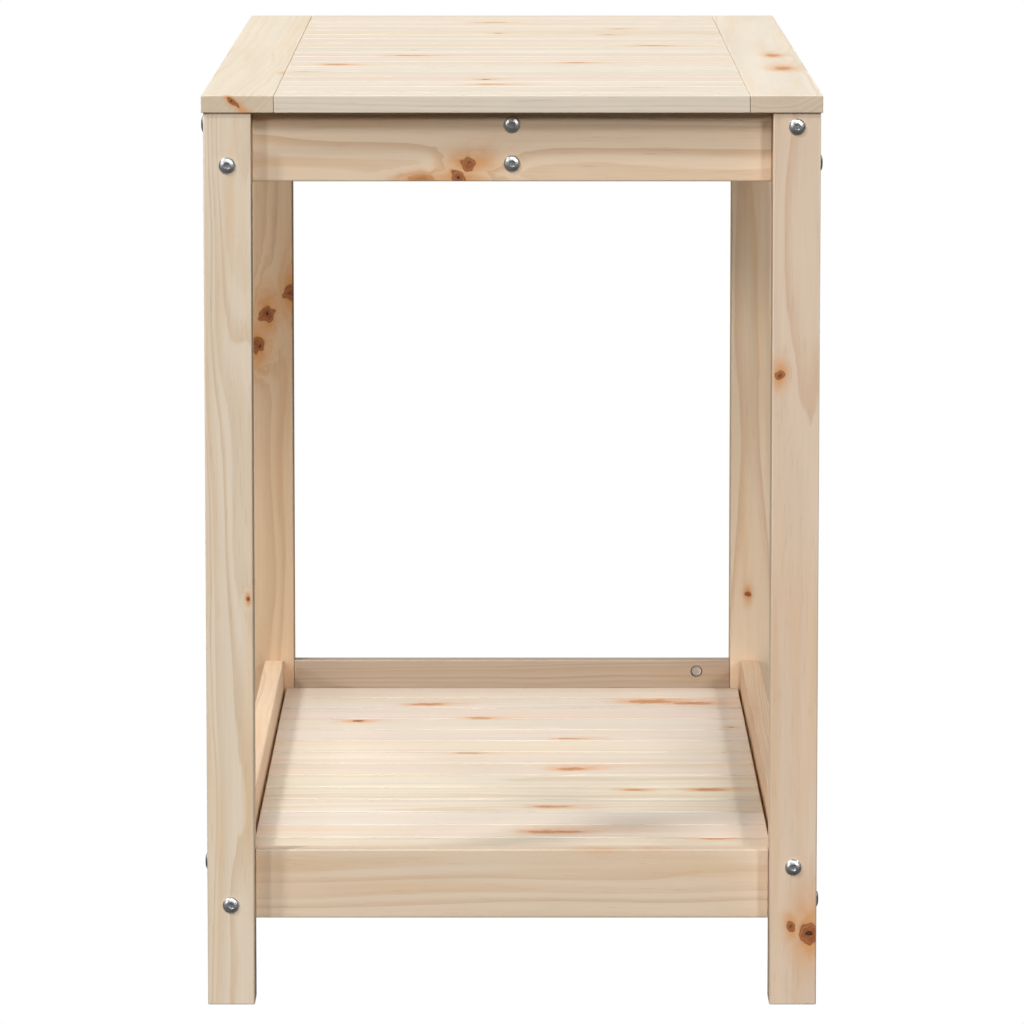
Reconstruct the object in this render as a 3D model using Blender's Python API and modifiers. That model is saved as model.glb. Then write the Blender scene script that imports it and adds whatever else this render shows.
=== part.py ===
"""Potting bench: a slatted softwood top and shelf on a bolted four-post frame.

Metres, +Z up. The origin is on the floor at the centre of the footprint. X runs
across the bench's short side, Y along its length, and the front end is at -Y.
"""
import math

import bmesh
import bpy
from mathutils import Matrix

# Overall size
LENGTH = 1.080
WIDTH = 0.502
HEIGHT = 0.747

# Gap left between pieces that touch
FIT = 0.0003

# Rounded edges of planed boards and of posts
BOARD_EDGE = 0.0010
POST_EDGE = 0.0014

# Posts, and how far the top stands out past them
LEG = 0.0385
SIDE_OVERHANG = 0.0015
END_OVERHANG = 0.003

# Rails. The side rails are centred on the posts, and the end rails lie flush with
# the posts' inner faces.
RAIL_THICK = 0.018
RAIL_TALL = 0.057
LOWER_RAIL_Z = 0.0685

# Slatted top
TOP_THICK = 0.014
EDGE_BOARD = 0.0585
END_STRIP = 0.0385
SLAT = 0.057
TOP_SLATS = 16
BATTEN_WIDE = 0.045
BATTEN_THICK = 0.018

# Slatted shelf, let in between the lower rails
SHELF_Z = 0.0985
SHELF_THICK = 0.014
SHELF_SLATS = 16
SHELF_SIDE_GAP = 0.002
CLEAT_END_GAP = 0.001
CLEAT_WIDE = 0.018

# Bolts, their barrel nuts and the holes for both
BOLT_LOW = 0.0145
BOLT_HIGH = 0.046
BOLT_RADIUS = 0.003
BOLT_PAST_NUT = 0.009
HEAD_RADIUS = 0.00675
HEAD_TALL = 0.0030
SOCKET_RADIUS = 0.0023
SOCKET_DEEP = 0.0019
NUT_RADIUS = 0.005
NUT_LONG = 0.014
NUT_SETBACK = 0.032
NUT_SLOT = 0.0012
BORE_RADIUS = 0.0035
NUT_BORE_RADIUS = 0.0055
NUT_BORE_DEEP = 0.0163
NUT_BORE_RIM = 0.0010
TURNED_SIDES = 16

# Screws that hold the shelf's cleats to the lower side rails
SCREW_Y = 0.300
SCREW_LONG = 0.030
SCREW_RADIUS = 0.002
SCREW_HEAD_RADIUS = 0.004
SCREW_HEAD_TALL = 0.0024
SCREW_BORE_RADIUS = 0.0024

# Sizes that follow from those above
TOP_UNDERSIDE = HEIGHT - TOP_THICK
FRAME_TOP = TOP_UNDERSIDE - FIT
UPPER_RAIL_Z = FRAME_TOP - RAIL_TALL
LEG_X = WIDTH / 2 - SIDE_OVERHANG - LEG / 2
LEG_Y = LENGTH / 2 - END_OVERHANG - LEG / 2
RAIL_INNER_X = LEG_X - RAIL_THICK / 2
RAIL_INNER_Y = LEG_Y - LEG / 2
END_RAIL_Y = RAIL_INNER_Y + RAIL_THICK / 2
END_RAIL_LONG = 2 * (LEG_X - LEG / 2 - FIT)
SIDE_RAIL_LONG = 2 * (RAIL_INNER_Y - FIT)
SHELF_UNDERSIDE = SHELF_Z - SHELF_THICK
CLEAT_LONG = 2 * (RAIL_INNER_Y - CLEAT_END_GAP)
SHELF_GAP = (2 * RAIL_INNER_Y - SHELF_SLATS * SLAT) / (SHELF_SLATS + 1)

SIDES = {"left": -1, "right": 1}
ENDS = {"front": -1, "back": 1}
LEVELS = {"lower": LOWER_RAIL_Z, "upper": UPPER_RAIL_Z}

# Turning round the bench, the hole that a corner's end-rail bolt takes alternates
# between high and low, and its side-rail bolt takes the other one.
END_RAIL_BOLT = {
    ("front", "left"): BOLT_HIGH,
    ("front", "right"): BOLT_LOW,
    ("back", "right"): BOLT_HIGH,
    ("back", "left"): BOLT_LOW,
}


def clear_scene():
    for item in list(bpy.data.objects):
        bpy.data.objects.remove(item, do_unlink=True)


def new_collection(name):
    collection = bpy.data.collections.new(name)
    bpy.context.scene.collection.children.link(collection)
    return collection


def new_material(name, colour, roughness, metallic=0.0):
    material = bpy.data.materials.new(name)
    material.use_nodes = True
    shader = material.node_tree.nodes["Principled BSDF"]
    shader.inputs["Base Color"].default_value = (*colour, 1.0)
    shader.inputs["Roughness"].default_value = roughness
    shader.inputs["Metallic"].default_value = metallic
    material.diffuse_color = (*colour, 1.0)
    return material


def add_object(name, mesh, collection, material=None):
    item = bpy.data.objects.new(name, mesh)
    collection.objects.link(item)
    if material and not mesh.materials:
        mesh.materials.append(material)
    return item


def box_mesh(name, size):
    shape = bmesh.new()
    bmesh.ops.create_cube(shape, size=1.0)
    bmesh.ops.scale(shape, vec=size, verts=shape.verts)
    mesh = bpy.data.meshes.new(name)
    shape.to_mesh(mesh)
    shape.free()
    return mesh


def rod_mesh(name, radius, low, high, sides):
    """A round rod along Z from low to high, with its corners on the radius."""
    shape = bmesh.new()
    bmesh.ops.create_cone(
        shape, cap_ends=True, segments=sides, radius1=radius, radius2=radius, depth=high - low
    )
    bmesh.ops.translate(shape, vec=(0, 0, (low + high) / 2), verts=shape.verts)
    mesh = bpy.data.meshes.new(name)
    shape.to_mesh(mesh)
    shape.free()
    return mesh


def board(name, size, centre, material, collection, edge=BOARD_EDGE):
    """A planed board with rounded edges."""
    item = add_object(name, box_mesh(name, size), collection, material)
    item.location = centre
    rounding = item.modifiers.new("rounded_edges", "BEVEL")
    rounding.width = edge
    rounding.segments = 2
    rounding.limit_method = "ANGLE"
    return item


def tool(name, mesh, matrix=None):
    """A body that cuts or joins a part and isn't one itself."""
    item = add_object(name, mesh, cutters)
    item.display_type = "WIRE"
    item.hide_render = True
    if matrix:
        item.matrix_world = matrix
    return item


def combine(target, other, operation):
    modifier = target.modifiers.new(other.name, "BOOLEAN")
    modifier.operation = operation
    modifier.solver = "EXACT"
    modifier.object = other


def turned(name, profile):
    """A turned body: the profile's radii and heights, from its top down to its tip."""
    mesh = bpy.data.meshes.new(name)
    edges = [(i, i + 1) for i in range(len(profile) - 1)]
    mesh.from_pydata([(radius, 0, height) for radius, height in profile], edges, [])
    item = tool(name, mesh)
    lathe = item.modifiers.new("turn", "SCREW")
    lathe.axis = "Z"
    lathe.steps = TURNED_SIDES
    lathe.render_steps = TURNED_SIDES
    lathe.use_merge_vertices = True
    lathe.merge_threshold = 0.0001
    return item


def finished_mesh(item, name):
    """The body as its modifiers leave it, as a mesh that copies can share."""
    graph = bpy.context.evaluated_depsgraph_get()
    mesh = bpy.data.meshes.new_from_object(item.evaluated_get(graph))
    mesh.name = name
    mesh.shade_smooth()
    mesh.set_sharp_from_angle(angle=math.radians(35))
    return mesh


def bolt_mesh(name, grip):
    """A button-head bolt along Z with its barrel nut, which lies along Y.

    The head's seat is at Z = 0 and the nut's centre is one grip below it.
    """
    tip = -grip - BOLT_PAST_NUT
    profile = [
        (0, HEAD_TALL),
        (HEAD_RADIUS * 0.58, HEAD_TALL * 0.90),
        (HEAD_RADIUS * 0.90, HEAD_TALL * 0.55),
        (HEAD_RADIUS, HEAD_TALL * 0.20),
        (HEAD_RADIUS * 0.96, FIT),
        (BOLT_RADIUS, FIT),
        (BOLT_RADIUS, tip + BOLT_RADIUS / 3),
        (BOLT_RADIUS * 0.7, tip),
        (0, tip),
    ]
    bolt = turned(name + "_body", profile)
    socket = rod_mesh("socket", SOCKET_RADIUS, HEAD_TALL - SOCKET_DEEP, HEAD_TALL * 2, 6)
    combine(bolt, tool(name + "_socket", socket), "DIFFERENCE")
    nut = rod_mesh("nut", NUT_RADIUS, -NUT_LONG / 2, NUT_LONG / 2, TURNED_SIDES)
    lying = Matrix.Translation((0, 0, -grip)) @ Matrix.Rotation(math.radians(90), 4, "X")
    combine(bolt, tool(name + "_nut", nut, lying), "UNION")
    slot = box_mesh("slot", (NUT_SLOT, NUT_SLOT * 2, NUT_RADIUS * 3))
    slot_place = Matrix.Translation((0, NUT_LONG / 2, -grip))
    combine(bolt, tool(name + "_slot", slot, slot_place), "DIFFERENCE")
    bpy.context.view_layer.update()
    return finished_mesh(bolt, name)


def nut_bore_mesh(name):
    """The blind hole for a barrel nut, along Y from the board's face at Y = half its thickness."""
    mouth = RAIL_THICK / 2
    profile = [
        (0, mouth + NUT_BORE_RIM),
        (NUT_BORE_RADIUS + 2 * NUT_BORE_RIM, mouth + NUT_BORE_RIM),
        (NUT_BORE_RADIUS, mouth - NUT_BORE_RIM),
        (NUT_BORE_RADIUS, mouth - NUT_BORE_DEEP),
        (0, mouth - NUT_BORE_DEEP),
    ]
    mesh = finished_mesh(turned(name + "_body", profile), name)
    mesh.transform(Matrix.Rotation(math.radians(-90), 4, "X"))
    return mesh


def facing(seat, outward, nut_way):
    """A bolt's matrix: +Z outward from its seat, +Y towards the side where its nut goes in."""
    across = (
        nut_way[1] * outward[2] - nut_way[2] * outward[1],
        nut_way[2] * outward[0] - nut_way[0] * outward[2],
        nut_way[0] * outward[1] - nut_way[1] * outward[0],
    )
    turn = Matrix((across, nut_way, outward)).transposed().to_4x4()
    return Matrix.Translation(seat) @ turn


def fit_bolt(name, kind, matrix, passed, held):
    """Place a bolt through one board into the end of another, and drill both."""
    grip = GRIPS[kind]
    bolt = add_object(name, BOLTS[kind], parts, zinc)
    bolt.matrix_world = matrix
    bore = tool("bore_" + name, BORES[kind], matrix)
    nut_matrix = matrix @ Matrix.Translation((0, 0, -grip))
    nut_bore = tool("nut_bore_" + name, NUT_BORE, nut_matrix)
    combine(passed, bore, "DIFFERENCE")
    combine(held, bore, "DIFFERENCE")
    combine(held, nut_bore, "DIFFERENCE")


def make_legs():
    tall = FRAME_TOP
    return {
        (end, side): board(
            f"leg_{end}_{side}",
            (LEG, LEG, tall),
            (SIDES[side] * LEG_X, ENDS[end] * LEG_Y, tall / 2),
            pine_frame,
            parts,
            POST_EDGE,
        )
        for end in ENDS
        for side in SIDES
    }


def make_rails():
    rails = {}
    for level, base in LEVELS.items():
        middle = base + RAIL_TALL / 2
        for end, sign in ENDS.items():
            rails[level, end] = board(
                f"{level}_end_rail_{end}",
                (END_RAIL_LONG, RAIL_THICK, RAIL_TALL),
                (0, sign * END_RAIL_Y, middle),
                pine_frame,
                parts,
            )
        for side, sign in SIDES.items():
            rails[level, side] = board(
                f"{level}_side_rail_{side}",
                (RAIL_THICK, SIDE_RAIL_LONG, RAIL_TALL),
                (sign * LEG_X, 0, middle),
                pine_frame,
                parts,
            )
    return rails


def make_beam():
    """The lengthwise beam under the middle of the top."""
    size = (RAIL_THICK, SIDE_RAIL_LONG, RAIL_TALL)
    return board("centre_beam", size, (0, 0, UPPER_RAIL_Z + RAIL_TALL / 2), pine_frame, parts)


def make_top():
    middle = HEIGHT - TOP_THICK / 2
    inner = WIDTH - 2 * EDGE_BOARD - 2 * FIT
    for side, sign in SIDES.items():
        board(
            f"top_edge_board_{side}",
            (EDGE_BOARD, LENGTH, TOP_THICK),
            (sign * (WIDTH - EDGE_BOARD) / 2, 0, middle),
            pine_top,
            parts,
        )
        board(
            f"top_batten_{side}",
            (BATTEN_WIDE, SIDE_RAIL_LONG, BATTEN_THICK),
            (sign * (RAIL_INNER_X - FIT - BATTEN_WIDE / 2), 0, FRAME_TOP - BATTEN_THICK / 2),
            pine_frame,
            parts,
        )
    for end, sign in ENDS.items():
        board(
            f"top_end_strip_{end}",
            (inner, END_STRIP, TOP_THICK),
            (0, sign * (LENGTH - END_STRIP) / 2, middle),
            pine_top,
            parts,
        )
    gap = (LENGTH - 2 * END_STRIP - TOP_SLATS * SLAT) / (TOP_SLATS + 1)
    for number in range(TOP_SLATS):
        board(
            f"top_slat_{number + 1:02d}",
            (inner, SLAT, TOP_THICK),
            (0, (number - (TOP_SLATS - 1) / 2) * (SLAT + gap), middle),
            pine_top,
            parts,
        )


def make_shelf():
    """The shelf: slats fixed across two cleats, with the same gap at its ends as between them."""
    cleat_tall = SHELF_UNDERSIDE + FIT - LOWER_RAIL_Z
    cleat_x = RAIL_INNER_X - FIT - CLEAT_WIDE / 2
    cleat = box_mesh("cleat", (CLEAT_WIDE, CLEAT_LONG, cleat_tall))
    cleat_z = LOWER_RAIL_Z + cleat_tall / 2
    shelf = add_object("shelf_panel", cleat.copy(), parts, pine_shelf)
    shelf.location = (-cleat_x, 0, cleat_z)
    slat_long = 2 * (RAIL_INNER_X - SHELF_SIDE_GAP)
    slat = box_mesh("shelf_slat", (slat_long, SLAT, SHELF_THICK))
    for number in range(SHELF_SLATS):
        along = (number - (SHELF_SLATS - 1) / 2) * (SLAT + SHELF_GAP)
        place = Matrix.Translation((0, along, SHELF_Z - SHELF_THICK / 2))
        combine(shelf, tool(f"shelf_slat_{number + 1:02d}", slat, place), "UNION")
    place = Matrix.Translation((cleat_x, 0, cleat_z))
    combine(shelf, tool("shelf_cleat", cleat, place), "UNION")
    return shelf


def fit_corner_bolts(legs, rails):
    """At each post and level: one bolt into the end rail and one into the side rail."""
    for level, base in LEVELS.items():
        for (end, side), end_rail_height in END_RAIL_BOLT.items():
            end_sign = ENDS[end]
            side_sign = SIDES[side]
            leg = legs[end, side]
            seat = (side_sign * (LEG_X + LEG / 2), end_sign * END_RAIL_Y, base + end_rail_height)
            matrix = facing(seat, (side_sign, 0, 0), (0, -end_sign, 0))
            name = f"bolt_{level}_{end}_{side}_into_end_rail"
            fit_bolt(name, "corner", matrix, leg, rails[level, end])
            height = base + BOLT_LOW + BOLT_HIGH - end_rail_height
            seat = (side_sign * LEG_X, end_sign * (LEG_Y + LEG / 2), height)
            matrix = facing(seat, (0, end_sign, 0), (-side_sign, 0, 0))
            name = f"bolt_{level}_{end}_{side}_into_side_rail"
            fit_bolt(name, "corner", matrix, leg, rails[level, side])


def fit_beam_bolts(beam, rails):
    """Two bolts through the middle of each upper end rail into the beam's end."""
    for end, sign in ENDS.items():
        for place, height in (("low", BOLT_LOW), ("high", BOLT_HIGH)):
            seat = (0, sign * (END_RAIL_Y + RAIL_THICK / 2), UPPER_RAIL_Z + height)
            matrix = facing(seat, (0, sign, 0), (1, 0, 0))
            fit_bolt(f"bolt_beam_{end}_{place}", "beam", matrix, rails["upper", end], beam)


def fit_cleat_screws(shelf, rails):
    """Pan-head screws through the cleats into the lower side rails."""
    profile = [
        (0, SCREW_HEAD_TALL),
        (SCREW_HEAD_RADIUS * 0.7, SCREW_HEAD_TALL * 0.85),
        (SCREW_HEAD_RADIUS, SCREW_HEAD_TALL * 0.35),
        (SCREW_HEAD_RADIUS, FIT),
        (SCREW_RADIUS, FIT),
        (SCREW_RADIUS, SCREW_RADIUS * 3 - SCREW_LONG),
        (0, -SCREW_LONG),
    ]
    screw = finished_mesh(turned("screw_body", profile), "cleat_screw")
    bore = rod_mesh("screw_bore", SCREW_BORE_RADIUS, -SCREW_LONG - 0.001, 0.001, TURNED_SIDES)
    height = (LOWER_RAIL_Z + SHELF_UNDERSIDE) / 2
    for side, side_sign in SIDES.items():
        for end, end_sign in ENDS.items():
            seat_x = side_sign * (RAIL_INNER_X - FIT - CLEAT_WIDE)
            matrix = facing((seat_x, end_sign * SCREW_Y, height), (-side_sign, 0, 0), (0, 1, 0))
            name = f"cleat_screw_{end}_{side}"
            add_object(name, screw, parts, zinc).matrix_world = matrix
            hole = tool("bore_" + name, bore, matrix)
            combine(shelf, hole, "DIFFERENCE")
            combine(rails["lower", side], hole, "DIFFERENCE")


clear_scene()
parts = new_collection("potting_bench")
cutters = new_collection("cutters")

pine_frame = new_material("pine_frame", (0.72, 0.55, 0.37), 0.60)
pine_top = new_material("pine_top", (0.86, 0.73, 0.55), 0.55)
pine_shelf = new_material("pine_shelf", (0.84, 0.68, 0.48), 0.58)
zinc = new_material("zinc", (0.66, 0.66, 0.64), 0.30, 1.0)

GRIPS = {"corner": LEG + FIT + NUT_SETBACK, "beam": RAIL_THICK + FIT + NUT_SETBACK}
BOLTS = {kind: bolt_mesh(f"{kind}_bolt", grip) for kind, grip in GRIPS.items()}
BORES = {
    kind: rod_mesh(f"{kind}_bore", BORE_RADIUS, -grip - BOLT_PAST_NUT - 0.001, 0.001, TURNED_SIDES)
    for kind, grip in GRIPS.items()
}
NUT_BORE = nut_bore_mesh("nut_bore")

all_legs = make_legs()
all_rails = make_rails()
centre_beam = make_beam()
make_top()
shelf_panel = make_shelf()
fit_corner_bolts(all_legs, all_rails)
fit_beam_bolts(centre_beam, all_rails)
fit_cleat_screws(shelf_panel, all_rails)
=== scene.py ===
import math
import random

import bmesh
import bpy
from mathutils import Matrix, Vector


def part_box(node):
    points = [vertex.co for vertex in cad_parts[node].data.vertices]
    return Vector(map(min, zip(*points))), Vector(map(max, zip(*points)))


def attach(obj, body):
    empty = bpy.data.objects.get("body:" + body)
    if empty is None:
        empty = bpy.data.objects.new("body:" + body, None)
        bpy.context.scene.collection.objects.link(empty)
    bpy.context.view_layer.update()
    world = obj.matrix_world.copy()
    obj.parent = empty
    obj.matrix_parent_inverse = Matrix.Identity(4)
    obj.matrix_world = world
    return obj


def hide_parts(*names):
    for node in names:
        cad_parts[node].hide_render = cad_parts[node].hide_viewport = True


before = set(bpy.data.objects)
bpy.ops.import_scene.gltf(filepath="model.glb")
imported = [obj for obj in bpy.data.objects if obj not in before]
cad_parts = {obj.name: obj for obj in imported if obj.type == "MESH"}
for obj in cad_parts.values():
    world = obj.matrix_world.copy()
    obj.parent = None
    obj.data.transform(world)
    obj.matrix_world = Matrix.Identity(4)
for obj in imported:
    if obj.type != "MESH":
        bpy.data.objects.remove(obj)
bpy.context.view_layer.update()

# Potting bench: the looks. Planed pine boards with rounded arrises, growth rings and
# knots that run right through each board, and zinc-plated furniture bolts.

X, Y, Z = 0, 1, 2
SIDES = {"left": -1, "right": 1}
ENDS = {"front": -1, "back": 1}
LEVELS = ("lower", "upper")

# Rounded arrises of the timber
ARRIS = 0.0012
POST_ARRIS = 0.0012
TOP_ARRIS = 0.0007
SLAT_ARRIS = 0.0009
END_ARRIS = 0.0008

# Shelf: what the one CAD node stands for
SHELF_SLATS = 16
SHELF_SLAT_WIDE = 0.057
SHELF_THICK = 0.014
SHELF_END_GAP = 0.0022
CLEAT_WIDE = 0.018
CLEAT_END_GAP = 0.001
TOUCH = 0.0002

# Every rail and the beam
RAIL_THICK = 0.018

# Fittings
BOLT_RADIUS = 0.003
HEAD_RADIUS = 0.00675
HEAD_TALL = 0.0030
SOCKET_RADIUS = 0.0023
SOCKET_DEEP = 0.0019
NUT_RADIUS = 0.005
NUT_LONG = 0.014
NUT_SLOT = 0.0018
BOLT_PAST_NUT = 0.009
BORE_RADIUS = 0.0035
NUT_BORE_RADIUS = 0.0055
NUT_BORE_DEEP = 0.0163
NUT_BORE_RIM = 0.0006
TURNED_SIDES = 40

# Studio: how strong the even light from all round is, and each distant soft lamp's
# azimuth (0 in front, 90 on the left), elevation, strength and spread in degrees
AMBIENT = 0.05
LAMPS = {
    "soft_top_light": (110, 50, 1.15, 60),
    "back_light": (180, 35, 0.50, 60),
    "key_light": (51, 46, 1.20, 8),
    "front_light": (-2, 34, 0.86, 12),
    "left_light": (33, 13, 0.44, 5),
    "low_light": (-25, 18, 0.68, 8),
    "right_light": (-90, 46, 0.72, 6),
}
FLOOR_HALF = 45.0
PAPER_DARK = (0.05, 0.049, 0.048, 1.0)
PAPER_PALE = (0.06, 0.059, 0.058, 1.0)
WHITE = (1.0, 1.0, 1.0, 1.0)

# Camera: eye level in front of one short end, looking a little down
CAMERA_PLACE = (0.0, -6.05, 1.14103)
CAMERA_PITCH = 82.426
CAMERA_LENS = 240.454


# ---------------------------------------------------------------- mesh helpers

def mesh_from(shape, name):
    mesh = bpy.data.meshes.new(name)
    bmesh.ops.recalc_face_normals(shape, faces=shape.faces)
    shape.to_mesh(mesh)
    shape.free()
    return mesh


def add_object(name, mesh):
    item = bpy.data.objects.new(name, mesh)
    bpy.context.scene.collection.objects.link(item)
    return item


def box_shape(low, high):
    shape = bmesh.new()
    bmesh.ops.create_cube(shape, size=1.0)
    bmesh.ops.scale(shape, vec=high - low, verts=shape.verts)
    bmesh.ops.translate(shape, vec=(low + high) / 2, verts=shape.verts)
    return shape


def bevel(shape, edges, width, segments):
    bmesh.ops.bevel(
        shape, geom=edges, offset=width, segments=segments, profile=0.5, affect="EDGES",
        clamp_overlap=True,
    )


def board_mesh(name, low, high, along, arris):
    """A board whose long edges are rounded more than the edges round its sawn ends."""
    shape = box_shape(low, high)

    def runs_along(edge):
        span = edge.verts[0].co - edge.verts[1].co
        return abs(span[along]) > 0.5 * (high - low)[along]

    bevel(shape, [edge for edge in shape.edges if runs_along(edge)], arris, 4)
    caps = [face for face in shape.faces if abs(face.normal[along]) > 0.9]
    rims = [edge for face in caps for edge in face.edges]
    bevel(shape, rims, END_ARRIS, 2)
    for face in shape.faces:
        face.smooth = max(abs(part) for part in face.normal) < 0.9999
    return mesh_from(shape, name)


def lathe_shape(profile, sides=TURNED_SIDES):
    """A body turned round Z from its profile of radii and heights."""
    shape = bmesh.new()
    points = [shape.verts.new((radius, 0, height)) for radius, height in profile]
    edges = [shape.edges.new(pair) for pair in zip(points, points[1:])]
    bmesh.ops.spin(
        shape, geom=points + edges, cent=(0, 0, 0), axis=(0, 0, 1), angle=math.tau, steps=sides,
        use_duplicate=False,
    )
    bmesh.ops.remove_doubles(shape, verts=shape.verts, dist=1e-6)
    return shape


def prism_shape(radius, low, high, sides):
    shape = bmesh.new()
    bmesh.ops.create_cone(
        shape, cap_ends=True, segments=sides, radius1=radius, radius2=radius, depth=high - low
    )
    bmesh.ops.translate(shape, vec=(0, 0, (low + high) / 2), verts=shape.verts)
    return shape


def cut(item, cutters):
    """Take each cutter's body out of the item, for good."""
    tools = []
    for mesh, matrix in cutters:
        tool = add_object("cutter", mesh)
        tool.matrix_world = matrix
        modifier = item.modifiers.new("cut", "BOOLEAN")
        modifier.operation = "DIFFERENCE"
        modifier.solver = "EXACT"
        modifier.object = tool
        tools.append(tool)
    bpy.context.view_layer.update()
    graph = bpy.context.evaluated_depsgraph_get()
    mesh = bpy.data.meshes.new_from_object(item.evaluated_get(graph))
    mesh.name = item.data.name
    item.modifiers.clear()
    item.data = mesh
    for tool in tools:
        bpy.data.objects.remove(tool)


# ------------------------------------------------------------- material helpers

class Net:
    """Short ways to add nodes to a node tree. A value may be a number or a socket."""

    def __init__(self, tree):
        self.tree = tree

    def node(self, kind, **settings):
        node = self.tree.nodes.new(kind)
        for name, value in settings.items():
            setattr(node, name, value)
        return node

    def feed(self, socket, value):
        if isinstance(value, bpy.types.NodeSocket):
            self.tree.links.new(value, socket)
        else:
            socket.default_value = value

    def math(self, operation, *values, clamp=False):
        node = self.node("ShaderNodeMath", operation=operation, use_clamp=clamp)
        for socket, value in zip(node.inputs, values):
            self.feed(socket, value)
        return node.outputs[0]

    def vector(self, operation, *values):
        node = self.node("ShaderNodeVectorMath", operation=operation)
        for socket, value in zip(node.inputs, values):
            self.feed(socket, value)
        return node.outputs["Value" if operation in ("DOT_PRODUCT", "LENGTH") else "Vector"]

    def scaled(self, vector, factor):
        node = self.node("ShaderNodeVectorMath", operation="SCALE")
        self.feed(node.inputs[0], vector)
        self.feed(node.inputs["Scale"], factor)
        return node.outputs["Vector"]

    def split(self, vector):
        node = self.node("ShaderNodeSeparateXYZ")
        self.feed(node.inputs[0], vector)
        return node.outputs[0], node.outputs[1], node.outputs[2]

    def join(self, *parts):
        node = self.node("ShaderNodeCombineXYZ")
        for socket, value in zip(node.inputs, parts):
            self.feed(socket, value)
        return node.outputs[0]

    def noise(self, vector, detail=2.0, roughness=0.5, colour=False):
        node = self.node("ShaderNodeTexNoise")
        self.feed(node.inputs["Vector"], vector)
        node.inputs["Scale"].default_value = 1.0
        node.inputs["Detail"].default_value = detail
        node.inputs["Roughness"].default_value = roughness
        return node.outputs["Color" if colour else "Fac"]

    def step(self, value, low, high):
        """0 below low and 1 above high, or the other way round if low is the larger."""
        node = self.node("ShaderNodeMapRange", interpolation_type="SMOOTHSTEP")
        self.feed(node.inputs["Value"], value)
        flip = low > high
        self.feed(node.inputs["From Min"], min(low, high))
        self.feed(node.inputs["From Max"], max(low, high))
        self.feed(node.inputs["To Min"], 1.0 if flip else 0.0)
        self.feed(node.inputs["To Max"], 0.0 if flip else 1.0)
        return node.outputs["Result"]

    def mix(self, factor, first, second, blend="MIX"):
        node = self.node("ShaderNodeMix", data_type="RGBA", blend_type=blend)
        self.feed(node.inputs["Factor"], factor)
        for name, value in (("A", first), ("B", second)):
            socket = next(s for s in node.inputs if s.name == name and s.type == "RGBA")
            self.feed(socket, value)
        return next(s for s in node.outputs if s.type == "RGBA")

    def attribute(self, name, kind="GEOMETRY"):
        return self.node("ShaderNodeAttribute", attribute_name=name, attribute_type=kind)


def new_group(name, inputs, outputs):
    group = bpy.data.node_groups.new(name, "ShaderNodeTree")
    for label, kind in inputs.items():
        group.interface.new_socket(label, in_out="INPUT", socket_type=kind)
    for label, kind in outputs.items():
        group.interface.new_socket(label, in_out="OUTPUT", socket_type=kind)
    net = Net(group)
    return group, net, net.node("NodeGroupInput").outputs, net.node("NodeGroupOutput").inputs


FLOAT = "NodeSocketFloat"
VECTOR = "NodeSocketVector"
# How steeply a branch climbs the log, and how far a knot's outline curls
BRANCH_TILT = 0.30
KNOT_CURL = 1.5

# Small knots round the log: cells to a metre of its length
WILD_CELLS = 3.1

# Colours within the wood
KNOT_HALO = (0.80, 0.36, 0.11, 1.0)
KNOT_WOOD = (0.50, 0.155, 0.045, 1.0)
KNOT_PITH = (0.03, 0.013, 0.009, 1.0)
KNOT_RIM = (0.27, 0.060, 0.016, 1.0)
RESIN_CANAL = (0.42, 0.25, 0.13, 1.0)
SAWN_END = (0.60, 0.42, 0.25, 1.0)
# Lighter arrises: partly planing wear, partly a painted highlight where the rounded edges catch the
# light
WORN_EDGE_AND_HIGHLIGHT = (0.94, 0.86, 0.73, 1.0)

# Bright zinc: two crystals and its dull spots
ZINC_GREY = (0.56, 0.57, 0.58, 1.0)
ZINC_PALE = (0.76, 0.76, 0.75, 1.0)
ZINC_DULL = (0.36, 0.37, 0.39, 1.0)
TURNING_PITCH = 0.00022


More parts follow.
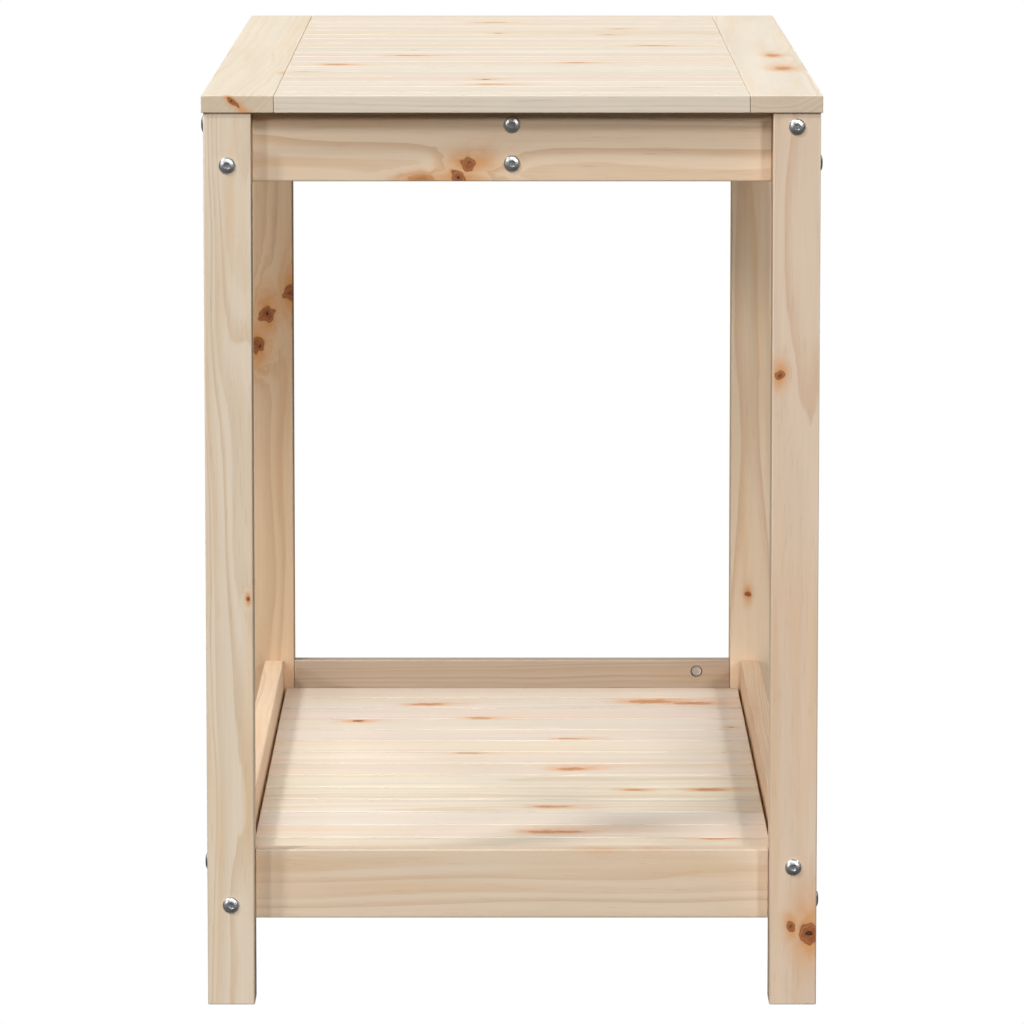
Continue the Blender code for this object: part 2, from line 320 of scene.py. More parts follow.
def knot_group():
    """One branch, a cone that leaves the pith at a height and an angle up the log.

    Knot holds that height, that angle, and the branch's radius over its length. Where the
    radius is negative, the saw ran along the branch and left a streak along the grain.
    """
    group, net, given, result = new_group(
        "knot",
        {"Grain": VECTOR, "Knot": VECTOR},
        {"Core": FLOAT, "Rim": FLOAT, "Halo": FLOAT, "Bend": FLOAT, "Rings": FLOAT},
    )
    height, angle, slope = net.split(given["Knot"])
    streak = net.math("LESS_THAN", slope, 0.0)
    slope = net.math("ABSOLUTE", slope)
    way = net.join(BRANCH_TILT, net.math("COSINE", angle), net.math("SINE", angle))
    way = net.vector("NORMALIZE", way)
    from_pith = net.vector("SUBTRACT", given["Grain"], net.join(height, 0.0, 0.0))
    out = net.math("MAXIMUM", net.vector("DOT_PRODUCT", from_pith, way), 0.0005)
    off = net.vector("SUBTRACT", from_pith, net.scaled(way, out))
    radius = net.math("MAXIMUM", net.math("MULTIPLY", out, slope), 0.00002)
    curl = net.noise(net.scaled(given["Grain"], 120.0), detail=1.0, colour=True)
    curl = net.vector("SUBTRACT", curl, (0.5, 0.5, 0.5))
    off = net.vector("ADD", off, net.scaled(curl, net.math("MULTIPLY", radius, KNOT_CURL)))
    squash = net.math("MULTIPLY_ADD", streak, -0.78, 1.0)
    near = net.vector("LENGTH", net.vector("MULTIPLY", off, net.join(squash, 1.0, 1.0)))
    near = net.math("DIVIDE", near, radius)
    stretch = net.math("MULTIPLY_ADD", streak, -0.28, 0.42)
    drawn = net.vector("LENGTH", net.vector("MULTIPLY", off, net.join(stretch, 1.0, 1.0)))
    spread = net.math("DIVIDE", drawn, radius)
    exists = net.step(slope, 0.004, 0.012)

    def bell(value, width):
        ratio = net.math("DIVIDE", value, width)
        fall = net.math("MULTIPLY", net.math("MULTIPLY", ratio, ratio), -1.0)
        return net.math("MULTIPLY", net.math("EXPONENT", fall), exists)

    core = net.math("MULTIPLY", net.step(near, 1.10, 0.60), exists)
    faint = net.math("MULTIPLY_ADD", streak, -0.60, 1.0)
    rim = net.math("MULTIPLY", bell(net.math("SUBTRACT", near, 1.0), 0.17), faint)
    halo = net.math("MULTIPLY", bell(spread, 1.90), 0.95)
    push = bell(spread, 2.4)
    net.feed(result["Core"], net.math("MULTIPLY", core, faint))
    net.feed(result["Rim"], rim)
    net.feed(result["Halo"], halo)
    net.feed(result["Bend"], net.math("MULTIPLY", push, net.math("MULTIPLY", radius, 1.6)))
    rings = net.math("SINE", net.math("MULTIPLY", net.vector("LENGTH", off), math.tau / 0.0012))
    rings = net.math("MULTIPLY", rings, 0.25)
    pith = net.math("MULTIPLY_ADD", net.step(near, 0.36, 0.12), 0.8, rings)
    net.feed(result["Rings"], net.math("MULTIPLY", pith, core))
    return group


def pine_group(knots):
    """Growth rings, fibres, resin canals and knots, from a point in the log."""
    group, net, given, result = new_group(
        "pine_figure",
        {"Grain": VECTOR, "Knot 1": VECTOR, "Knot 2": VECTOR, "Knot 3": VECTOR, "Wild": FLOAT,
         "Spacing": FLOAT},
        {"Late": FLOAT, "Fibre": FLOAT, "Canals": FLOAT, "Core": FLOAT, "Rim": FLOAT,
         "Halo": FLOAT, "Rings": FLOAT, "Tone": FLOAT, "Blush": FLOAT},
    )
    grain = given["Grain"]
    slow = net.noise(net.vector("MULTIPLY", grain, (1.9, 8.0, 8.0)), detail=2.0, colour=True)
    slow = net.vector("SUBTRACT", slow, (0.5, 0.5, 0.5))
    sway = net.vector("MULTIPLY", slow, (0.0, 0.026, 0.026))
    quick = net.noise(net.vector("MULTIPLY", grain, (9.0, 70.0, 70.0)), detail=3.0, colour=True)
    quick = net.vector("SUBTRACT", quick, (0.5, 0.5, 0.5))
    ripple = net.vector("MULTIPLY", quick, (0.003, 0.0022, 0.0022))
    bent = net.vector("ADD", net.vector("ADD", grain, sway), ripple)
    along, across, through = net.split(bent)

    # Small branches scattered round the log
    turn = net.math("ARCTAN2", through, across)
    cell = net.join(net.math("MULTIPLY", along, WILD_CELLS), turn, 0.0)
    scatter = net.node("ShaderNodeTexVoronoi", voronoi_dimensions="2D")
    net.feed(scatter.inputs["Vector"], cell)
    scatter.inputs["Scale"].default_value = 1.0
    place_x, place_y, _ = net.split(scatter.outputs["Position"])
    luck, size, _ = net.split(scatter.outputs["Color"])
    slope = net.math("MULTIPLY_ADD", size, 0.06, 0.015)
    slope = net.math("MULTIPLY", net.step(luck, 0.62, 0.66), slope)
    slope = net.math("MULTIPLY", slope, given["Wild"])
    wild = net.join(net.math("DIVIDE", place_x, WILD_CELLS), place_y, slope)

    found = []
    for knot in (given["Knot 1"], given["Knot 2"], given["Knot 3"], wild):
        node = net.node("ShaderNodeGroup", node_tree=knots)
        net.feed(node.inputs["Grain"], bent)
        net.feed(node.inputs["Knot"], knot)
        found.append(node.outputs)

    def most(label):
        value = found[0][label]
        for outputs in found[1:]:
            value = net.math("MAXIMUM", value, outputs[label])
        return value

    for label in ("Core", "Rim", "Halo"):
        net.feed(result[label], most(label))
    marks = found[0]["Rings"]
    for outputs in found[1:]:
        marks = net.math("ADD", marks, outputs["Rings"])
    net.feed(result["Rings"], marks)

    # Growth rings: slow spring wood, then a band of darker summer wood that stops sharply
    from_pith = net.vector("LENGTH", net.join(0.0, across, through))
    radius = net.math("ADD", from_pith, most("Bend"))
    count = net.math("DIVIDE", radius, given["Spacing"])
    year = net.node("ShaderNodeTexNoise", noise_dimensions="1D")
    net.feed(year.inputs["W"], count)
    year.inputs["Scale"].default_value = 0.45
    year.inputs["Detail"].default_value = 1.0
    count = net.math("MULTIPLY_ADD", year.outputs["Fac"], 2.2, count)
    part = net.math("FRACT", count)
    late = net.math("MULTIPLY", net.step(part, 0.25, 0.92), net.step(part, 1.0, 0.90))
    strength = net.node("ShaderNodeTexWhiteNoise", noise_dimensions="1D")
    net.feed(strength.inputs["W"], net.math("FLOOR", count))
    late = net.math("MULTIPLY", late, net.math("MULTIPLY_ADD", strength.outputs["Value"], 0.8, 0.2))
    net.feed(result["Late"], late)

    fine = net.noise(net.vector("MULTIPLY", bent, (16.0, 900.0, 900.0)), detail=2.0, roughness=0.6)
    broad = net.noise(net.vector("MULTIPLY", bent, (5.0, 260.0, 260.0)), detail=2.0)
    fibre = net.math("ADD", net.math("MULTIPLY", fine, 0.6), net.math("MULTIPLY", broad, 0.4))
    net.feed(result["Fibre"], fibre)
    dashes = net.noise(net.vector("MULTIPLY", bent, (38.0, 1700.0, 1700.0)), detail=0.0)
    canals = net.math("MULTIPLY", net.step(dashes, 0.70, 0.80), net.step(part, 0.2, 0.6))
    net.feed(result["Canals"], canals)
    tone = net.noise(net.vector("MULTIPLY", bent, (2.2, 34.0, 34.0)), detail=3.0)
    net.feed(result["Tone"], net.math("SUBTRACT", tone, 0.5))
    blush = net.noise(net.vector("MULTIPLY", bent, (3.0, 48.0, 48.0)), detail=2.0)
    net.feed(result["Blush"], net.step(blush, 0.48, 0.74))
    return group


def pine(name, figure, spring, summer, warm):
    """Pale planed pine. spring and summer are the two colours of a growth ring."""
    material = bpy.data.materials.new(name)
    material.use_nodes = True
    net = Net(material.node_tree)
    shader = material.node_tree.nodes["Principled BSDF"]
    wood = net.node("ShaderNodeGroup", node_tree=figure)
    net.feed(wood.inputs["Grain"], net.attribute("grain").outputs["Vector"])
    for number in (1, 2, 3):
        knot = net.attribute(f"knot_{number}", "OBJECT").outputs["Vector"]
        net.feed(wood.inputs[f"Knot {number}"], knot)
    looks = net.attribute("looks", "OBJECT").outputs["Vector"]
    contrast, wild, _ = net.split(looks)
    net.feed(wood.inputs["Wild"], wild)
    net.feed(wood.inputs["Spacing"], net.attribute("ring_spacing", "OBJECT").outputs["Fac"])
    got = wood.outputs

    normal = net.node("ShaderNodeNewGeometry").outputs["True Normal"]
    axis = net.attribute("grain_axis", "OBJECT").outputs["Vector"]
    end = net.step(net.math("ABSOLUTE", net.vector("DOT_PRODUCT", normal, axis)), 0.75, 0.95)

    depth = net.math("MULTIPLY_ADD", end, 0.12, contrast)
    ring = net.math("MULTIPLY", got["Late"], depth, clamp=True)
    colour = net.mix(ring, (*spring, 1.0), (*summer, 1.0))
    colour = net.mix(net.math("MULTIPLY", got["Blush"], 0.60), colour, (*warm, 1.0))
    streak = net.math("MULTIPLY_ADD", net.math("SUBTRACT", got["Fibre"], 0.5), 0.16, 1.0)
    streak = net.math("ADD", streak, net.math("MULTIPLY", got["Tone"], 0.22))
    # Board tint, with the painted shade of some boards
    tint_and_painted_shade = net.scaled(net.attribute("tint_and_painted_shade", "OBJECT").outputs["Vector"], streak)
    colour = net.mix(1.0, colour, tint_and_painted_shade, "MULTIPLY")
    colour = net.mix(net.math("MULTIPLY", got["Canals"], 0.18), colour, RESIN_CANAL)
    colour = net.mix(net.math("MULTIPLY", end, 0.35), colour, SAWN_END)
    colour = net.mix(got["Halo"], colour, KNOT_HALO)
    heart = net.math("ADD", got["Rings"], 0.25, clamp=True)
    heart = net.mix(heart, KNOT_WOOD, KNOT_PITH)
    colour = net.mix(got["Core"], colour, heart)
    colour = net.mix(net.math("MULTIPLY", got["Rim"], 0.80), colour, KNOT_RIM)
    # Lighter arrises: partly wear, partly a painted highlight
    edge_wear_and_highlight = net.attribute("edge_wear_and_highlight").outputs["Fac"]
    colour = net.mix(net.math("MULTIPLY", edge_wear_and_highlight, 0.22), colour, WORN_EDGE_AND_HIGHLIGHT)
    net.feed(shader.inputs["Base Color"], colour)

    rough = net.math("MULTIPLY_ADD", got["Fibre"], 0.20, 0.47)
    rough = net.math("MULTIPLY_ADD", got["Late"], -0.08, rough)
    rough = net.math("MULTIPLY_ADD", end, 0.15, rough, clamp=True)
    net.feed(shader.inputs["Roughness"], rough)
    height = net.math("MULTIPLY", got["Fibre"], 0.00006)
    height = net.math("MULTIPLY_ADD", got["Late"], 0.00004, height)
    height = net.math("MULTIPLY_ADD", got["Canals"], -0.00008, height)
    height = net.math("MULTIPLY_ADD", got["Rim"], -0.00015, height)
    relief = net.node("ShaderNodeBump")
    relief.inputs["Strength"].default_value = 0.8
    relief.inputs["Distance"].default_value = 1.0
    net.feed(relief.inputs["Height"], height)
    net.feed(shader.inputs["Normal"], relief.outputs["Normal"])
    shader.inputs["Specular IOR Level"].default_value = 0.35
    return material


def zinc_plate(name):
    """Bright zinc plate: a fine mottle of crystals, faint turning marks and dull spots."""
    material = bpy.data.materials.new(name)
    material.use_nodes = True
    net = Net(material.node_tree)
    shader = material.node_tree.nodes["Principled BSDF"]
    place = net.node("ShaderNodeTexCoord").outputs["Object"]
    mottle = net.noise(net.scaled(place, 900.0), detail=3.0)
    haze = net.noise(net.scaled(place, 220.0), detail=2.0)
    reach = net.vector("LENGTH", net.vector("MULTIPLY", place, (1.0, 1.0, 0.0)))
    turning = net.math("SINE", net.math("MULTIPLY", reach, math.tau / TURNING_PITCH))
    colour = net.mix(net.step(haze, 0.35, 0.70), ZINC_GREY, ZINC_PALE)
    dull = net.math("MULTIPLY", net.step(mottle, 0.55, 0.75), 0.35)
    colour = net.mix(dull, colour, ZINC_DULL)
    net.feed(shader.inputs["Base Color"], colour)
    net.feed(shader.inputs["Roughness"], net.math("MULTIPLY_ADD", mottle, 0.22, 0.24))
    shader.inputs["Metallic"].default_value = 0.92
    relief = net.node("ShaderNodeBump")
    relief.inputs["Strength"].default_value = 0.5
    relief.inputs["Distance"].default_value = 1.0
    grooves = net.math("MULTIPLY", turning, 0.000003)
    height = net.math("MULTIPLY_ADD", mottle, 0.00001, grooves)
    net.feed(relief.inputs["Height"], height)
    net.feed(shader.inputs["Normal"], relief.outputs["Normal"])
    return material


figure = pine_group(knot_group())
# Each slot's spring wood, summer wood and warmer patches
WOOD_COLOURS = {
    "pine_frame": ((0.87, 0.705, 0.55), (0.68, 0.44, 0.26), (0.82, 0.57, 0.35)),
    "pine_top": ((0.83, 0.74, 0.62), (0.75, 0.575, 0.39), (0.82, 0.665, 0.465)),
    "pine_shelf": ((0.85, 0.76, 0.66), (0.745, 0.57, 0.405), (0.84, 0.675, 0.485)),
}
PINE = {slot: pine("planed_" + slot, figure, *colours) for slot, colours in WOOD_COLOURS.items()}
ZINC = zinc_plate("bright_zinc")


# ---------------------------------------------------------------- timber

# Boards that are redder, paler or duller than most; two of them also carry painted shade
BOARD_TINTS_AND_PAINTED_SHADE = {
    "leg_front_left": (1.05, 1.08, 1.14),
    "leg_front_right": (1.01, 0.96, 0.93),
    # The back-left post's orange cast is painted warm shade
    "leg_back_left": (1.06, 0.98, 0.88),
    "leg_back_right": (1.10, 1.09, 1.07),
    "top_edge_board_left": (1.04, 1.02, 1.0),
    "top_edge_board_right": (1.0, 1.03, 1.0),
    "upper_end_rail_front": (1.08, 1.05, 1.00),
    # The back lower end rail's darkening is painted shade
    "lower_end_rail_back": (0.67, 0.65, 0.63),
    "lower_side_rail_left": (1.02, 0.93, 0.82),
    "lower_side_rail_right": (1.02, 0.93, 0.82),
}

# Knots on the boards that show them: a point on the surface, then the knot's radius there.
# LOW stands for the board's low face.
LOW = -1
KNOTS = {
    "upper_end_rail_front": [
        ((-0.0345, LOW, 0.6930), 0.0056),
        ((-0.0430, LOW, 0.6790), 0.0058),
        ((-0.0720, LOW, 0.6785), -0.0036),
    ],
    "lower_end_rail_front": [((0.070, LOW, 0.1320), 0.0044), ((0.118, LOW, 0.1325), 0.0044)],
    "leg_front_right": [
        ((0.2185, LOW, 0.5200), 0.0030),
        ((0.2420, LOW, 0.0600), 0.0075),
        ((0.2260, LOW, 0.0660), 0.0036),
    ],
    "leg_front_left": [((-0.217, LOW, 0.335), 0.0014)],
    "leg_back_left": [
        ((-0.2125, LOW, 0.4830), 0.0060),
        ((-0.2370, LOW, 0.4620), 0.0064),
        ((-0.2460, LOW, 0.4330), 0.0070),
    ],
    "top_edge_board_left": [
        ((-0.2220, LOW, 0.7410), 0.0018),
        ((-0.1900, -0.2700, 0.747), -0.0030),
    ],
    "top_edge_board_right": [
        ((0.2300, -0.0480, 0.747), -0.0050),
        ((0.2300, -0.2180, 0.747), -0.0064),
    ],
}

# Streaks where the saw ran along a branch: x, y and half the streak's width
TOP_STREAKS = [
    (-0.021, 0.430, 0.0044), (-0.091, -0.048, 0.0044), (-0.178, -0.256, 0.0034),
    (0.125, 0.085, 0.0040), (0.055, -0.141, 0.0030), (0.100, 0.330, 0.0030),
    (-0.150, -0.170, 0.0030), (0.110, -0.440, 0.0030), (-0.020, -0.410, 0.0036),
]
SHELF_STREAKS = [
    (0.132, 0.413, 0.0068), (0.172, 0.405, 0.0060), (-0.080, 0.400, 0.0046),
    (0.052, 0.200, 0.0034), (0.052, 0.032, 0.0036), (-0.040, 0.120, 0.0032),
    (0.175, -0.071, 0.0044), (0.110, -0.075, 0.0030), (0.033, -0.162, 0.0046),
    (0.028, -0.283, 0.0052), (0.048, -0.283, 0.0036), (0.173, -0.316, 0.0042),
    (-0.205, -0.385, 0.0046), (-0.030, 0.320, 0.0030),
]


def streaks_on(streaks, low, high):
    """The streaks that fall on this board's top face, three at most."""
    found = []
    for x, y, wide in streaks:
        if low.x < x < high.x and low.y < y < high.y:
            found.append(((x, y, high.z), -wide))
    return found[:3]


def grow(item, low, high, along, across, name, knots=()):
    """Give a board its place in a log: every vertex gets its point there, along the grain first.

    The pith runs along the grain, off to one side of the board, so the rings cross the
    board's faces as its sawyer left them, and each knot is aimed from the pith.
    """
    luck = random.Random(name)
    through = 3 - along - across
    middle = (low + high) / 2
    size = high - low
    offset = luck.uniform(-0.9, 0.9) * size[across]
    depth = luck.choice((-1, 1)) * (size[through] * 0.5 + luck.uniform(0.012, 0.060))
    lean = luck.uniform(-0.012, 0.012)
    skew = luck.uniform(-0.02, 0.02)
    start = luck.uniform(0.0, 40.0)

    def in_log(point):
        run = point[along] - middle[along]
        side = point[across] - middle[across] + offset + skew * run
        deep = point[through] - middle[through] + depth + lean * run
        return Vector((run + start, side, deep))

    mesh = item.data
    mesh.attributes.new("grain", "FLOAT_VECTOR", "POINT")
    mesh.attributes.new("edge_wear_and_highlight", "FLOAT", "POINT")
    grain = mesh.attributes["grain"]
    edge_wear_and_highlight = mesh.attributes["edge_wear_and_highlight"]
    for vertex in mesh.vertices:
        grain.data[vertex.index].vector = in_log(vertex.co)
        # Arris vertices, marked for lighter edges: partly wear, partly a painted highlight
        inset = sorted(min(vertex.co[a] - low[a], high[a] - vertex.co[a]) for a in (X, Y, Z))
        edge_wear_and_highlight.data[vertex.index].value = 1.0 if 0.00002 < inset[0] and inset[1] < 0.0012 else 0.0
    for number in (1, 2, 3):
        item[f"knot_{number}"] = (0.0, 0.0, 0.0)
    for number, (point, radius) in enumerate(knots, start=1):
        place = in_log(Vector(low[a] if point[a] == LOW else point[a] for a in (X, Y, Z)))
        out = math.hypot(place.y, place.z)
        angle = math.atan2(place.z, place.y)
        long = out * math.hypot(1.0, BRANCH_TILT)
        item[f"knot_{number}"] = (place.x - BRANCH_TILT * out, angle, radius / long)
    axis = [0.0, 0.0, 0.0]
    axis[along] = 1.0
    item["grain_axis"] = axis
    item["looks"] = (luck.uniform(0.35, 0.85), 0.0 if knots else 1.0, 0.0)
    shift = Vector((luck.uniform(0.98, 1.02), luck.uniform(0.97, 1.01), luck.uniform(0.93, 1.02)))
    # The tint also carries the painted shade of the boards listed above
    item["tint_and_painted_shade"] = shift * Vector(BOARD_TINTS_AND_PAINTED_SHADE.get(name.removesuffix("_timber"), (1.0, 1.0, 1.0)))
    item["ring_spacing"] = luck.uniform(0.0028, 0.0070)


def timber(name, low, high, along, across, slot, arris=ARRIS, cutters=(), node=None, knots=()):
    item = add_object(name, board_mesh(name, low, high, along, arris))
    if cutters:
        cut(item, cutters)
    grow(item, low, high, along, across, name, knots)
    item.data.materials.clear()
    item.data.materials.append(PINE[slot])
    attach(item, "root")
    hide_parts(node)
    return item


# ---------------------------------------------------------------- fittings

def held_board(node):
    """The board that holds the bolt's nut."""
    if node.startswith("bolt_beam"):
        return "centre_beam"
    _, level, end, side, _, kind, _ = node.split("_")
    return f"{level}_{kind}_rail_{end if kind == 'end' else side}"


def place_bolt(node):
    """Where the bolt goes, and its grip: how far its nut is from its seat.

    The seat is at the origin, the head points along Z, and the nut's slot faces Y.
    """
    low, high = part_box(node)
    board_low, board_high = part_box(held_board(node))
    along = max((X, Y), key=lambda a: (high - low)[a])
    other = Y if along == X else X
    way = math.copysign(1, (low + high)[along])
    outward = Vector((0, 0, 0))
    outward[along] = way
    seat = (low + high) / 2
    seat[along] = (high[along] if way > 0 else low[along]) - way * HEAD_TALL
    seat[other] = (board_low + board_high)[other] / 2
    nut_way = Vector((0, 0, 0))
    nut_way[other] = -1 if seat[other] > 0.001 else 1
    across = nut_way.cross(outward)
    turn = Matrix((across, nut_way, outward)).transposed().to_4x4()
    return Matrix.Translation(seat) @ turn, (high - low)[along] - HEAD_TALL - BOLT_PAST_NUT


def dome(radius, tall, base, steps):
    """The profile of a button head, from the middle of its top round to its seat."""
    points = [(0.0, tall)]
    for number in range(1, steps + 1):
        turn = math.pi / 2 * number / steps
        points.append((radius * math.sin(turn), base + (tall - base) * math.cos(turn) ** 0.9))
    return points


def bolt_mesh(name, grip):
    tip = -grip - BOLT_PAST_NUT
    profile = dome(HEAD_RADIUS, HEAD_TALL, 0.0007, 10)
    profile += [(HEAD_RADIUS, 0.0004), (HEAD_RADIUS - 0.0002, 0.0001), (BOLT_RADIUS, 0.0001)]
    profile += [(BOLT_RADIUS, tip + 0.001), (BOLT_RADIUS * 0.72, tip), (0.0, tip)]
    item = add_object(name, mesh_from(lathe_shape(profile), name))
    socket = prism_shape(SOCKET_RADIUS, HEAD_TALL - SOCKET_DEEP, HEAD_TALL * 2, 6)
    rim = lathe_shape([(0.0, HEAD_TALL + 0.001), (SOCKET_RADIUS + 0.0018, HEAD_TALL + 0.001),
                       (SOCKET_RADIUS, HEAD_TALL - 0.0007), (0.0, HEAD_TALL - 0.0007)])
    cut(item, [(mesh_from(socket, "socket"), Matrix.Identity(4))])
    cut(item, [(mesh_from(rim, "rim"), Matrix.Identity(4))])
    mesh = item.data
    bpy.data.objects.remove(item)
    mesh.shade_smooth()
    mesh.set_sharp_from_angle(angle=math.radians(32))
    mesh.materials.clear()
    mesh.materials.append(ZINC)
    return mesh


def nut_mesh(name):
    """A barrel nut along Y, with a screwdriver slot in its open end and a threaded cross hole."""
    half = NUT_LONG / 2
    lip = 0.0005
    profile = [(0.0, half), (NUT_RADIUS - lip, half), (NUT_RADIUS, half - lip),
               (NUT_RADIUS, lip - half), (NUT_RADIUS - lip, -half), (0.0, -half)]
    mesh = mesh_from(lathe_shape(profile), name)
    item = add_object(name, mesh)
    slot = box_shape(
        Vector((-NUT_SLOT / 2, -NUT_RADIUS * 1.5, half - NUT_SLOT)),
        Vector((NUT_SLOT / 2, NUT_RADIUS * 1.5, half * 2)),
    )
    hole = prism_shape(BOLT_RADIUS + 0.0001, -NUT_RADIUS * 2, NUT_RADIUS * 2, TURNED_SIDES)
    cut(item, [(mesh_from(slot, "slot"), Matrix.Identity(4)),
               (mesh_from(hole, "hole"), Matrix.Rotation(math.radians(90), 4, "Y"))])
    mesh = item.data
    bpy.data.objects.remove(item)
    mesh.transform(Matrix.Rotation(math.radians(-90), 4, "X"))
    mesh.transform(Matrix.Rotation(math.radians(90), 4, "Y"))
    mesh.shade_smooth()
    mesh.set_sharp_from_angle(angle=math.radians(32))
    mesh.materials.clear()
    mesh.materials.append(ZINC)
    return mesh


def nut_bore_mesh(half_thick):
    """The blind hole for a barrel nut, along Y from the board's face, with a broken edge."""
    profile = [
        (0.0, half_thick + NUT_BORE_RIM),
        (NUT_BORE_RADIUS + 2 * NUT_BORE_RIM, half_thick + NUT_BORE_RIM),
        (NUT_BORE_RADIUS, half_thick - NUT_BORE_RIM),
        (NUT_BORE_RADIUS, half_thick - NUT_BORE_DEEP),
        (0.0, half_thick - NUT_BORE_DEEP),
    ]
    mesh = mesh_from(lathe_shape(profile), "nut_bore")
    mesh.transform(Matrix.Rotation(math.radians(-90), 4, "X"))
    return mesh


bolt_nodes = sorted(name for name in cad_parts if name.startswith("bolt_"))
placed = {name: place_bolt(name) for name in bolt_nodes}
bolt_meshes = {}
nut = nut_mesh("barrel_nut")
for name, (matrix, grip) in placed.items():
    grip = round(grip, 4)
    if grip not in bolt_meshes:
        bolt_meshes[grip] = bolt_mesh(f"furniture_bolt_{round(grip * 1000)}", grip)
    bolt = add_object("steel_" + name, bolt_meshes[grip])
    bolt.matrix_world = matrix
    barrel = add_object("steel_" + name.replace("bolt_", "nut_"), nut)
    barrel.matrix_world = matrix @ Matrix.Translation((0, 0, -grip))
    for item in (bolt, barrel):
        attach(item, "root")
        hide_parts(name)

nut_bore = nut_bore_mesh(RAIL_THICK / 2)


def holes_for(*names, nuts=False):
    """The bores that these bolts need, and their nuts' bores in the board that holds those."""
    holes = []
    for name in names:
        matrix, grip = placed[name]
        bore = prism_shape(BORE_RADIUS, -grip - BOLT_PAST_NUT - 0.003, 0.004, 32)
        holes.append((mesh_from(bore, "bore"), matrix))
        if nuts:
            holes.append((nut_bore, matrix @ Matrix.Translation((0, 0, -grip))))
    return holes


# ---------------------------------------------------------------- frame

for end in ENDS:
    for side in SIDES:
        node = f"leg_{end}_{side}"
        low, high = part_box(node)
        bolts = [name for name in bolt_nodes if f"{end}_{side}_into" in name]
        timber(node + "_timber", low, high, Z, X, "pine_frame", POST_ARRIS, holes_for(*bolts), node,
               KNOTS.get(node, ()))

for level in LEVELS:
    for end in ENDS:
        node = f"{level}_end_rail_{end}"
        low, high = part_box(node)
        bolts = [f"bolt_{level}_{end}_{side}_into_end_rail" for side in SIDES]
        cutters = holes_for(*bolts, nuts=True)
        if level == "upper":
            end_bolts = [name for name in bolt_nodes if name.startswith(f"bolt_beam_{end}")]
            cutters += holes_for(*end_bolts)
        timber(node + "_timber", low, high, X, Z, "pine_frame", ARRIS, cutters, node,
               KNOTS.get(node, ()))
    for side in SIDES:
        node = f"{level}_side_rail_{side}"
        low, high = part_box(node)
        bolts = [f"bolt_{level}_{end}_{side}_into_side_rail" for end in ENDS]
        cutters = holes_for(*bolts, nuts=True)
        timber(node + "_timber", low, high, Y, Z, "pine_frame", ARRIS, cutters, node)

low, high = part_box("centre_beam")
beam_bolts = [name for name in bolt_nodes if name.startswith("bolt_beam")]
beam_holes = holes_for(*beam_bolts, nuts=True)
timber("centre_beam_timber", low, high, Y, Z, "pine_frame", ARRIS, beam_holes, "centre_beam")

# ---------------------------------------------------------------- worktop

for side in SIDES:
    for part, slot in (("top_edge_board", "pine_top"), ("top_batten", "pine_frame")):
        node = f"{part}_{side}"
        low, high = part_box(node)
        timber(node + "_timber", low, high, Y, X, slot, TOP_ARRIS, node=node,
               knots=KNOTS.get(node, streaks_on(TOP_STREAKS, low, high)))

top_nodes = [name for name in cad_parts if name.startswith(("top_slat", "top_end_strip"))]
for node in sorted(top_nodes):
    low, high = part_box(node)
    timber(node + "_timber", low, high, X, Y, "pine_top", TOP_ARRIS, node=node,
           knots=streaks_on(TOP_STREAKS, low, high))

# ---------------------------------------------------------------- shelf

low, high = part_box("shelf_panel")
pitch = (high.y - low.y - SHELF_SLAT_WIDE) / (SHELF_SLATS - 1)
underside = high.z - SHELF_THICK
for number in range(SHELF_SLATS):
    slat_low = Vector((low.x + SHELF_END_GAP, low.y + number * pitch, underside))
    slat_high = Vector((high.x - SHELF_END_GAP, low.y + number * pitch + SHELF_SLAT_WIDE, high.z))
    timber(f"shelf_slat_{number + 1:02d}", slat_low, slat_high, X, Y, "pine_shelf", SLAT_ARRIS,
           node="shelf_panel", knots=streaks_on(SHELF_STREAKS, slat_low, slat_high))

cleat_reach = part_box("leg_back_left")[0].y - CLEAT_END_GAP
for side, sign in SIDES.items():
    outer = abs(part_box(f"lower_side_rail_{side}")[0 if sign > 0 else 1].x) - 0.0003
    xs = sorted((sign * outer, sign * (outer - CLEAT_WIDE)))
    timber(
        f"shelf_cleat_{side}",
        Vector((xs[0], -cleat_reach, low.z)),
        Vector((xs[1], cleat_reach, underside - TOUCH)),
        Y, X, "pine_shelf", node="shelf_panel",
    )

# Screws through the cleats keep their CAD shape
for name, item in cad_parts.items():
    if name.startswith("cleat_screw"):
        item.data.materials.clear()
        item.data.materials.append(ZINC)

# ---------------------------------------------------------------- studio

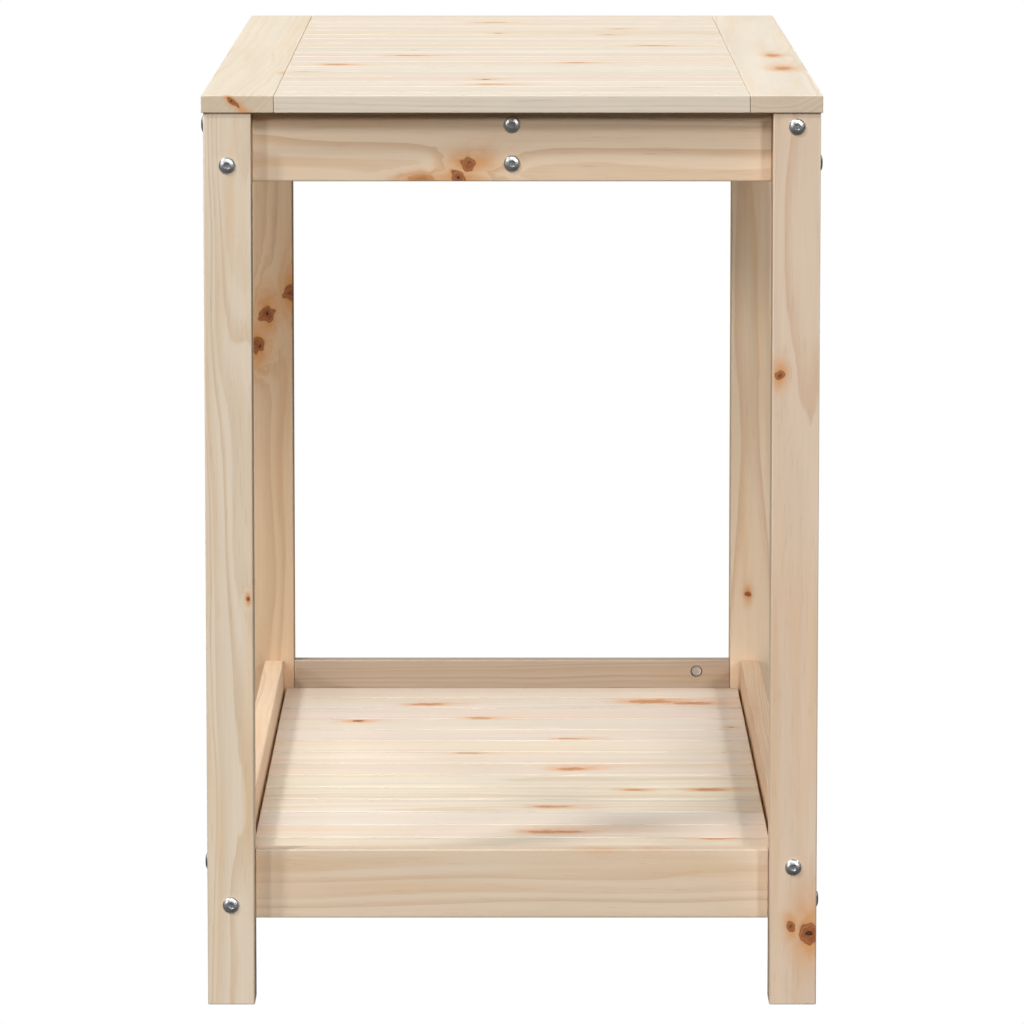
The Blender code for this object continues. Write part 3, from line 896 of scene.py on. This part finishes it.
floor_shape = bmesh.new()
bmesh.ops.create_grid(floor_shape, x_segments=8, y_segments=8, size=FLOOR_HALF)
floor = add_object("studio_floor", mesh_from(floor_shape, "studio_floor"))
floor.location.z = -0.0002
paper = bpy.data.materials.new("white_paper")
paper.use_nodes = True
net = Net(paper.node_tree)
shader = paper.node_tree.nodes["Principled BSDF"]
spot = net.noise(net.scaled(net.node("ShaderNodeTexCoord").outputs["Object"], 40.0), detail=2.0)
net.feed(shader.inputs["Base Color"], net.mix(spot, PAPER_DARK, PAPER_PALE))
shader.inputs["Roughness"].default_value = 1.0
shader.inputs["Specular IOR Level"].default_value = 0.0
glow = net.node("ShaderNodeEmission")
glow.inputs["Color"].default_value = WHITE
seen = net.node("ShaderNodeMixShader")
net.feed(seen.inputs[0], net.node("ShaderNodeLightPath").outputs["Is Camera Ray"])
net.feed(seen.inputs[1], shader.outputs[0])
net.feed(seen.inputs[2], glow.outputs[0])
net.feed(paper.node_tree.nodes["Material Output"].inputs["Surface"], seen.outputs[0])
floor.data.materials.append(paper)

# The studio's walls are far off and white, and give a dim even light
world = bpy.data.worlds.new("studio_white")
world.use_nodes = True
net = Net(world.node_tree)
backdrop = world.node_tree.nodes["Background"]
backdrop.inputs["Color"].default_value = WHITE
direct = net.node("ShaderNodeLightPath").outputs["Is Camera Ray"]
net.feed(backdrop.inputs["Strength"], net.math("MULTIPLY_ADD", direct, 1.0 - AMBIENT, AMBIENT))
bpy.context.scene.world = world


for name, (azimuth, elevation, strength, spread) in LAMPS.items():
    lamp = bpy.data.lights.new(name, "SUN")
    lamp.energy = strength
    lamp.angle = math.radians(spread)
    item = bpy.data.objects.new(name, lamp)
    bpy.context.scene.collection.objects.link(item)
    a = math.radians(azimuth)
    e = math.radians(elevation)
    toward = Vector((-math.sin(a) * math.cos(e), -math.cos(a) * math.cos(e), math.sin(e)))
    item.rotation_euler = toward.to_track_quat("Z", "Y").to_euler()

camera_data = bpy.data.cameras.new("camera")
camera_data.lens = CAMERA_LENS
camera_data.sensor_width = 36.0
camera_data.clip_start = 0.1
camera_data.clip_end = 200.0
camera = bpy.data.objects.new("camera", camera_data)
bpy.context.scene.collection.objects.link(camera)
camera.location = CAMERA_PLACE
camera.rotation_euler = (math.radians(CAMERA_PITCH), 0.0, 0.0)
bpy.context.scene.camera = camera
bpy.context.scene.view_settings.view_transform = "Standard"
